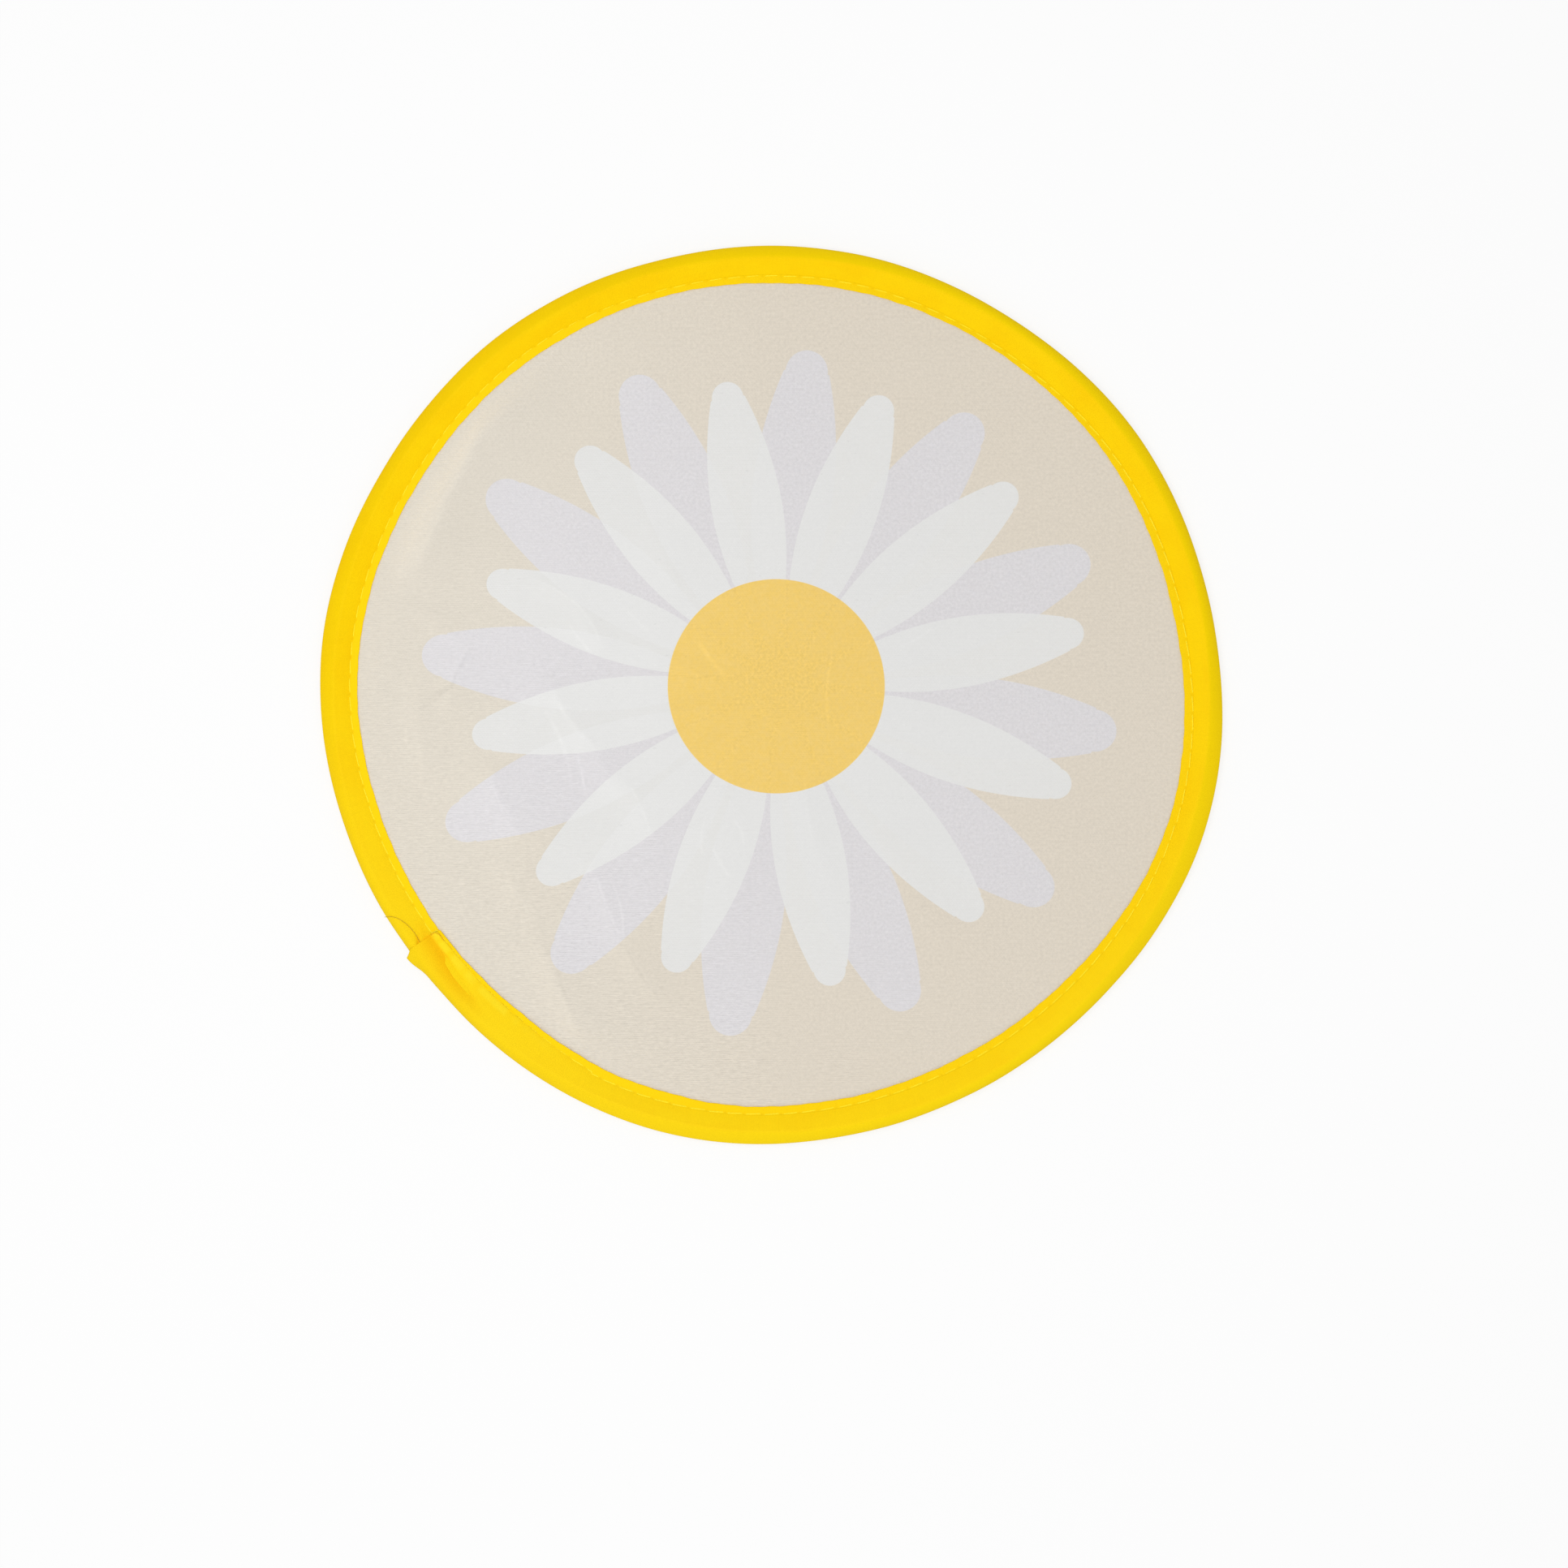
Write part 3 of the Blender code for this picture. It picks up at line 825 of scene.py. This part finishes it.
class FAN_OT_ribbon(bpy.types.Operator):
    """Fold the ribbon round the hoop and over both edges of the cloth"""

    bl_idname = "fan.ribbon"
    bl_label = "Fold Ribbon"

    def execute(self, context):
        scene = context.scene
        ribbon, stitch = scene.fan_ribbon, scene.fan_stitch
        turns = ribbon_stations(ribbon, stitch)[:, None]
        angles = degrees(ribbon.lap_angle) + turns
        arc = arc_of(turns)
        radii, heights = ribbon_face(angles, turns, 1, ribbon, stitch)
        low_radii, low_heights = ribbon_face(angles, turns, -1, ribbon, stitch)
        # The section once round the fold: radius, and height as the imaginary part
        section = np.hstack([radii + 1j * heights, (low_radii - 1j * low_heights)[:, -2::-1]])
        slope = slope_shares * row_to_crest
        nose = row_to_crest + nose_shares * crest_to_nose
        widths = np.hstack([(hem_shares - 1) * ribbon.row_margin, slope, nose])
        widths = np.hstack([widths, row_to_row - widths[-2::-1]])

        # Square to the section, towards the inside of the fold
        ahead = np.gradient(section, axis=1)
        inward = -1j * ahead / np.abs(ahead)
        half = ribbon.thickness / 2 * (1 + turned_under(arc, ribbon) * 0.9)
        # The turned-under end is round, and so is each woven edge, by one point that stands out
        rounded = np.sqrt(np.clip(1 - (1 - np.minimum(arc / (0.2 * mm), 1)) ** 2, 0.04, 1))
        count = section.shape[1]
        chosen = np.unique([*range(0, count, 3), 1, count - 2, count - 1])
        outside = section + inward * half * (1 - rounded)
        inside = (section + inward * half * (1 + rounded))[:, chosen]
        ends = (outside[:, [0, -1]] + inside[:, [0, -1]]) / 2 - 0.6 * half
        ring = np.hstack([outside, ends[:, 1:], inside[:, ::-1], ends[:, :1]])
        first, last = widths[0] - 0.06 * mm, widths[-1] + 0.06 * mm
        ring_width = np.hstack([widths, last, widths[chosen][::-1], first])

        # The turned-under end isn't cut quite square
        reach = ring.real / mm
        skew = 0.62 * ease((reach - 98.1) / 2.1) + 0.2 * ease((92.5 - reach) / 2)
        skew = skew * (1 - ease(arc / (8 * mm)))
        height = np.clip(middle_height + ring.imag, 0.02 * mm, 2 * middle_height)
        points = around(angles + skew, ring.real, height).reshape(-1, 3)
        rows, columns = ring.shape
        index = np.arange(ring.size).reshape(rows, columns)
        beside = np.roll(index, -1, axis=1)
        quads = np.stack([index[:-1], beside[:-1], beside[1:], index[1:]], axis=-1).reshape(-1, 4)
        caps = np.roll([index[0, ::-1], index[-1]], 1, axis=1)
        faces = quads.tolist() + caps.tolist()
        finish = ribbon_finish(ribbon, stitch, scene.fan_colours)
        piece = add_piece("binding_ribbon", points.tolist(), faces, [finish])
        # Where the lap's painted shade and painted light lie, held by the mesh's points
        _, painted_fold_shade, painted_lit = lap_marks(angles, turns, radii, ribbon)
        for name, level in (("painted_fold_shade", painted_fold_shade), ("painted_lit", painted_lit)):
            levels = np.zeros(ring.shape)
            levels[:, : count // 2] = level[:, :-1]
            write_level(piece, name, levels)
        corner, face = corners_of(faces)
        row, column = corner // columns, corner % columns
        arc = arc.ravel()
        write_map(piece, "tape", np.column_stack([arc[row], ring_width[column]]))
        body = face < len(quads)
        write_map(piece, "OFBake", ribbon_map(arc, row, column, face, count, columns, body, widths))
        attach(piece, "cover")
        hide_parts("edge_binding")
        return {"FINISHED"}


def ribbon_map(arc, row, column, face, count, columns, body, widths):
    """Lay the ribbon's outer face in rows on its own map, and its inner face in one narrow row."""
    lanes = 7
    lane_length, lane_height = arc[-1] / lanes, 0.94 / lanes
    station = np.where(body, face // columns, 0)
    lane = np.minimum((arc[station] / lane_length).astype(int), lanes - 1)
    share = (widths - widths[0]) / (widths[-1] - widths[0])
    level = np.where(column < count, share[np.minimum(column, count - 1)], 0.0)
    u = 0.01 + (arc[row] - lane * lane_length) / lane_length * 0.965
    v = lane * lane_height + 0.006 + level * (lane_height - 0.012)
    inner_face = (face % columns) >= count - 1
    inner_level = (column - count + 1) % columns / (columns - count + 1)
    u = np.where(inner_face, 0.01 + arc[row] / arc[-1] * 0.98, u)
    v = np.where(inner_face, 0.946 + inner_level * 0.045, v)
    u = np.where(body, u, 0.005 + level * 0.004)
    v = np.where(body, v, 0.995 + (column % 2) * 0.003)
    return np.column_stack([u, v])


def ribbon_finish(ribbon, stitch, colours):
    """Dense dyed ribbon: fine ribs across it, firmer woven edges and needle holes, with painted light
    on its left and on the lap's hem strip, and painted shade in the lap's folds and along the row of
    stitches.
    """
    finish = Finish("yellow_ribbon")
    place_on = finish.node("ShaderNodeUVMap", uv_map="tape")
    along, across, _ = finish.parts(place_on)
    rows = along * (pi / ribbon.weave_pitch)
    crossing = rows.sine() * (across * (pi / (ribbon.weave_pitch * 0.8))).sine()
    ribs = (rows * 2.0).sine()
    slubs = finish.spots(along, across * 0.04, 0.00035)
    strands = finish.spots(along * 0.03, across, 0.00035)
    relief = ribs * 0.4 + crossing * 0.35 + slubs * 0.5 + strands * 0.5
    dye = finish.spots(along * 0.5, across, 0.006, 3.0)
    spots = finish.grain(place_on, 0.0011) - 0.5
    # The ribbon's first point lies at the lap, and its needle holes at whole stitches from +X
    lead = radians(degrees(ribbon.lap_angle) % (full_turn / stitch.count)) * wire_radius
    from_hole = (along + lead).bounce(pi * wire_radius / stitch.count)
    from_row = abs(across).at_most(abs(across - row_to_row))
    hole = from_hole.fade(0.0001, 0.0004) * from_row.fade(0.0001, 0.0004)
    from_fold = abs(across - row_to_row / 2)
    x, y, _ = finish.parts(finish.place())
    # Painted light: the ribbon is lighter on the left and lower left, as if more brightly lit there
    lit_left = (0.03 - x).step(0.0, 0.1)
    lit_lower_left = (0.03 - y).step(0.0, 0.1) * (lit_left * 0.5 + 0.5)
    # Painted shade tint on the outer strip that turns away from the light, cut back on the lit left
    turned = from_fold.fade(crest_to_nose - 0.0008, crest_to_nose + 0.0002) * (1 - lit_left * 0.8)
    rubbed = from_fold.fade(0.0001, 0.0009)
    within = (0.0 - across).at_least(across - row_to_row).step(0.0, 0.0003)
    # Painted light on the left ribbon's slope up to the crest, which faces away from the lamp
    painted_slope_light = across.step(0.0, 0.0006) * across.fade(0.0028, 0.0044)
    # The row of stitches shows as a thin dark line of painted shade: the threads' painted shadow beside
    # them, and the groove's painted shade in place of them on the lap
    lapped = along.fade(0.030, 0.042)
    painted_thread_shadow = abs(across - 0.00026).fade(0.00002, 0.00016)
    sewn = abs(across).fade(0.00002, 0.00018) * lapped
    # Painted light and shade on the left: its hem strip and slope lighter, the rest a little darker;
    # then the threads' painted shadow, weaker on the left
    shade = 1.0 + lit_left * (within * 0.055 - (1 - within) * 0.018 + painted_slope_light * 0.018)
    shade = shade - painted_thread_shadow * (1 - lapped) * (0.085 - lit_left * 0.07)
    strength = 0.995 + (slubs - 0.5) * 0.04 + (strands - 0.5) * 0.03 + spots * 0.03 + ribs * 0.004
    # Over the dyed ribbon: heavier dye, the outer strip's painted shade tint, painted light on the
    # lower left and the lap's hem strip, the hem's tone, painted shade in the lap's folds, wear at the
    # fold, and needle holes with the row's painted shade
    tone = finish.layers(
        colours.ribbon,
        (dye.step(0.35, 0.7), colours.deep),
        (turned, colours.turned),
        (lit_lower_left * 0.45, colours.painted_lit),
        (within, colours.hem),
        (finish.level("painted_lit"), colours.painted_lit),
        (finish.level("painted_fold_shade") * 0.9, colours.painted_fold_shade),
        (rubbed * 0.08, colours.rubbed),
        ((hole * 0.12).at_least(sewn * 0.48), colours.holes_and_groove_shade),
    )
    return finish.surface(
        Base_Color=finish.tint(tone, strength * shade),
        Roughness=0.62 + spots * 0.12 + rubbed * 0.1,
        Specular_IOR_Level=0.04,
        Normal=finish.relief(relief, 0.00004),
    )


# The threads


def add_thread(name, paths, diameter, finish, twist_length=1.6 * mm):
    """Lay twisted two-ply thread along many paths at once, as one piece."""
    count, steps, _ = paths.shape
    sides = 8
    ahead = np.gradient(paths, axis=1)
    ahead /= np.linalg.norm(ahead, axis=2, keepdims=True)
    aside = np.cross((0.0, 0.0, 1.0), ahead)
    aside /= np.linalg.norm(aside, axis=2, keepdims=True)
    upward = np.cross(ahead, aside)
    gaps = np.linalg.norm(np.diff(paths, axis=1), axis=2)
    run = np.cumsum(np.hstack([np.zeros((count, 1)), gaps]), axis=1)
    spin = np.arange(sides) / sides * 2 * pi
    twist = (run / twist_length * 2 * pi)[:, :, None]
    swell = (diameter / 2 * (1 + 0.2 * np.cos(2 * (spin - twist))))[..., None]
    spread = aside[:, :, None] * np.cos(spin)[:, None] + upward[:, :, None] * np.sin(spin)[:, None]
    points = (paths[:, :, None] + swell * spread).reshape(-1, 3)
    index = np.arange(count * steps * sides).reshape(count, steps, sides)
    beside = np.roll(index, -1, axis=2)
    quads = np.stack([index[:, :-1], beside[:, :-1], beside[:, 1:], index[:, 1:]], axis=-1)
    caps = np.vstack([index[:, 0, ::-1], index[:, -1]])
    piece = add_piece(name, points.tolist(), quads.reshape(-1, 4).tolist() + caps.tolist(), [finish])
    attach(piece, "cover")


def thread_finish(name, tone):
    """Spun polyester thread."""
    finish = Finish(name)
    place_on = finish.place()
    fuzz = finish.grain(place_on, 0.0002, 3.0)
    dye = finish.grain(place_on, 0.004) - 0.5
    return finish.surface(
        Base_Color=finish.tint(tone, 0.96 + dye * 0.08 + fuzz * 0.06),
        Roughness=0.5 + fuzz * 0.2,
        Specular_IOR_Level=0.1,
        Normal=finish.relief(fuzz, 0.00002, 0.5),
    )


def standing(turns, side, ribbon):
    """How far the stitches stand out of the ribbon, as a share of half their thread."""
    if side < 0:
        return 0.3
    across = np.cos(np.radians(turns) + ribbon.lap_angle)
    proud = 1.4 * ease((across - 0.66) / 0.26) - 0.65
    for middle, spread, size in faint_stitches:
        proud = proud + size * bell(turns - middle, spread)
    return np.where(turns < turn_of(ribbon.lap_length), -0.8, proud)


class FAN_OT_stitches(bpy.types.Operator):
    """Sew ribbon and cloth together with one row of lockstitch"""

    bl_idname = "fan.stitches"
    bl_label = "Sew Stitches"

    def execute(self, context):
        scene = context.scene
        ribbon, stitch = scene.fan_ribbon, scene.fan_stitch
        finish = thread_finish("sewing_thread", scene.fan_colours.thread)
        pitch = full_turn / stitch.count
        first = int(np.ceil(degrees(ribbon.lap_angle) / pitch))
        starts = np.arange(first, first + stitch.count)[:, None]
        steps = 22
        angles = (starts + np.linspace(0.035, 0.965, steps)) * pitch
        turns = (angles - degrees(ribbon.lap_angle)) % full_turn
        radii = row_line(angles, turns, ribbon)
        share = np.linspace(0, 1, steps)
        dive = stitch.sink * (1 - ease(np.minimum(share, 1 - share) / 0.16))
        for name, side in (("needle_stitches", 1), ("bobbin_stitches", -1)):
            heights = face_height(angles.ravel(), radii.ravel(), side, ribbon, stitch)
            proud = standing(turns[:, steps // 2, None], side, ribbon) * stitch.thread / 2
            level = heights.reshape(radii.shape) + proud - dive
            aside = wander(starts, 0.7, 5.0 + side) * 0.05 * mm - (2 * share - 1) * stitch.slant * side
            paths = around(angles, radii + aside, middle_height + side * level)
            add_thread(name, paths, stitch.thread, finish)
        return {"FINISHED"}


def soften(line):
    """Round off the corners of a line of numbers, in place."""
    for _ in range(12):
        line[1:-1] = (line[:-2] + line[2:] + 2 * line[1:-1]) / 4


class FAN_OT_loose_thread(bpy.types.Operator):
    """Leave the loose ends of thread at the lap"""

    bl_idname = "fan.loose_thread"
    bl_label = "Add Loose Threads"

    def execute(self, context):
        scene = context.scene
        colours, stitch = scene.fan_colours, scene.fan_stitch
        # One rises from the tuck and bows over the ribbon to just past its outer fold; its dark colour
        # is painted shade
        self.lay_thread(scene, "loose_thread", tail_route, colours.loose, stitch.tail, 0.10)
        # The other hooks over the end of the lap and runs into the row of stitches; its darker colour
        # is painted shade
        self.lay_thread(scene, "hooked_thread", hook_route, colours.hook_in_shade, stitch.thread, 0.0)
        return {"FINISHED"}

    def lay_thread(self, scene, name, route, tone, diameter, bow):
        """Lay one thread over the ribbon along its route, lifted off it by the bow, in millimetres."""
        ribbon = scene.fan_ribbon
        lap = degrees(ribbon.lap_angle)
        share = np.linspace(0, 1, len(route))
        fine = np.linspace(0, 1, 60)
        turn, reach = (np.interp(fine, share, column) for column in np.array(route).T)
        soften(turn)
        soften(reach)
        reach *= mm
        turn_below = np.minimum(turn, lap - 0.05) if bow else np.maximum(turn, lap + 0.2)
        outermost = 98.5 * mm
        below = face_height(turn_below, np.minimum(reach, outermost), 1, ribbon, scene.fan_stitch)
        lift = bow * mm * (1.2 + np.sin(fine * pi)) + (0.0 if bow else 0.2 * diameter)
        sunk = max(diameter, 0.1 * mm)
        height = below + lift * ease(fine / 0.1) - sunk * (1 - ease(fine / 0.08))
        if not bow:
            height -= sunk * ease((fine - 0.9) / 0.1)
        soften(height)
        path = around(turn, reach, middle_height + height)
        add_thread(name, path[None], diameter, thread_finish(name, tone), 1.1 * mm)


# The steel


def steel_finish(name, tone, stain, along_grain, roughness):
    """Rolled steel: fine lines along it, uneven gloss and a few dull stains."""
    finish = Finish(name)
    place_on = finish.place()
    x, y, z = finish.parts(place_on)
    bearing = x.math("ARCTAN2", y, x) * wire_radius
    lines = finish.spots(bearing * along_grain, z, 0.0001)
    dull = finish.grain(place_on, 0.004, 3.0).step(0.5, 0.75)
    rubbed = finish.grain(place_on, 0.0012)
    return finish.surface(
        Base_Color=finish.tint(finish.layers(tone, (dull * 0.6, stain)), 0.9 + lines * 0.2),
        Metallic=1.0,
        Roughness=roughness + dull * 0.18 + rubbed * 0.08,
        Normal=finish.relief(lines, 0.000008),
    )


class FAN_OT_steel(bpy.types.Operator):
    """Finish the spring hoop and its splice sleeve"""

    bl_idname = "fan.steel"
    bl_label = "Finish Steel"

    def execute(self, context):
        dyes = context.scene.fan_colours
        hoop = steel_finish("tempered_steel", dyes.hoop, dyes.hoop_stain, 0.02, 0.28)
        sleeve = steel_finish("sleeve_steel", dyes.sleeve, dyes.sleeve_stain, 0.2, 0.38)
        for node, finish in (("spring_hoop", hoop), ("splice_ferrule", sleeve)):
            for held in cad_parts[node].material_slots:
                held.material = finish
        return {"FINISHED"}


# The stage


class FAN_OT_stage(bpy.types.Operator):
    """Lay the pale floor, hang the lights and set up the camera"""

    bl_idname = "fan.stage"
    bl_label = "Set Stage"

    def execute(self, context):
        scene = context.scene
        half = 1.5
        corners = [(-half, -half, 0), (half, -half, 0), (half, half, 0), (-half, half, 0)]
        floor = add_piece("floor", corners, [(0, 1, 2, 3)], [floor_finish()])
        self.light_room(scene)
        # A large soft lamp high over the left, and a weak low one from below
        self.hang_lamp("key_lamp", 182, 79, 0.7, 0.5, 2.4)
        self.hang_lamp("low_lamp", 280, 30, 1.2, 0.6, 1.4)
        # The photograph's view in millimetres: its middle, its width on the floor, and from how far
        across, up, view_width, distance = 2.75, -19.93, 349.7, 2200.0
        camera = add_object("camera", bpy.data.cameras.new("camera"))
        camera.location = (across * mm, up * mm, distance * mm)
        camera.data.sensor_width = 36.0
        camera.data.lens = camera.data.sensor_width * distance / view_width
        camera.data.clip_start, camera.data.clip_end = 0.05, 20
        scene.camera = camera
        scene.view_settings.view_transform = "Standard"
        return {"FINISHED"}

    def light_room(self, scene):
        """An even pale room that looks white to the camera."""
        scene.world = bpy.data.worlds.new("pale_room")
        room = Finish("pale_room", scene.world)
        strength = 0.55 + camera_share(room) * 0.45
        glow = room.node("ShaderNodeBackground", {"Color": (1, 1, 1), "Strength": strength})
        room.node("ShaderNodeOutputWorld", {"Surface": glow})

    def hang_lamp(self, name, bearing, height, distance, size, power):
        """An area lamp aimed at the fan."""
        lamp = add_object(name, bpy.data.lights.new(name, "AREA"))
        lamp.data.shape = "DISK"
        lamp.data.size = size
        lamp.data.energy = power
        flat = distance * cos(radians(height))
        lamp.location = around(bearing, flat, distance * sin(radians(height)))
        lamp.rotation_euler = (-lamp.location).to_track_quat("-Z", "Y").to_euler()


def camera_share(finish):
    """1 for what the camera sees, straight or by reflection, and 0 for light on the fan."""
    rays = ("Is Camera Ray", "Is Glossy Ray", "Is Transmission Ray")
    seen, gloss, glass = (finish.node("ShaderNodeLightPath", output=ray) for ray in rays)
    return seen.at_least(gloss).at_least(glass)


def floor_finish():
    """Pale paper floor that looks nearly white and still takes a soft shadow."""
    finish = Finish("pale_floor")
    paper = finish.relief(finish.grain(finish.place(), 0.002), 0.00002, 0.2)
    lit = finish.node("ShaderNodeBsdfDiffuse", {"Color": (0.9, 0.9, 0.9), "Normal": paper})
    glow = finish.node("ShaderNodeEmission", {"Color": (1, 1, 1), "Strength": 1.0})
    share = camera_share(finish) * 0.8
    mixed = finish.node("ShaderNodeMixShader", {0: share, 1: lit, 2: glow})
    finish.node("ShaderNodeOutputMaterial", {"Surface": mixed})
    return finish.owner


class FAN_PT_sidebar(bpy.types.Panel):
    """Sizes, colours and steps of the fan"""

    bl_idname = "FAN_PT_sidebar"
    bl_label = "Pop-up Hand Fan"
    bl_space_type = "VIEW_3D"
    bl_region_type = "UI"
    bl_category = "Hand Fan"

    def draw(self, context):
        layout = self.layout
        for step in operators:
            layout.operator(step.bl_idname)
        for title, name, group in settings:
            box = layout.box()
            box.label(text=title)
            held = getattr(context.scene, name)
            for key in group.__annotations__:
                box.prop(held, key)


settings = (
    ("Cloth", "fan_cloth", ClothSizes),
    ("Print", "fan_print", PrintSizes),
    ("Ribbon", "fan_ribbon", RibbonSizes),
    ("Stitches", "fan_stitch", StitchSizes),
    ("Colours", "fan_colours", FanColours),
)
operators = (
    FAN_OT_stage, FAN_OT_ribbon, FAN_OT_cloth,
    FAN_OT_stitches, FAN_OT_loose_thread, FAN_OT_steel,
)


def register():
    """Register the sizes, the steps and the sidebar panel."""
    for _, name, group in settings:
        bpy.utils.register_class(group)
        setattr(bpy.types.Scene, name, PointerProperty(type=group))
    for step in (*operators, FAN_PT_sidebar):
        bpy.utils.register_class(step)


def unregister():
    """Take everything back out."""
    for step in (FAN_PT_sidebar, *reversed(operators)):
        bpy.utils.unregister_class(step)
    for _, name, group in reversed(settings):
        delattr(bpy.types.Scene, name)
        bpy.utils.unregister_class(group)


def main():
    """Make the fan step by step."""
    register()
    bpy.ops.fan.stage()
    bpy.ops.fan.ribbon()
    bpy.ops.fan.cloth()
    bpy.ops.fan.stitches()
    bpy.ops.fan.loose_thread()
    bpy.ops.fan.steel()


if __name__ == "__main__":
    main()
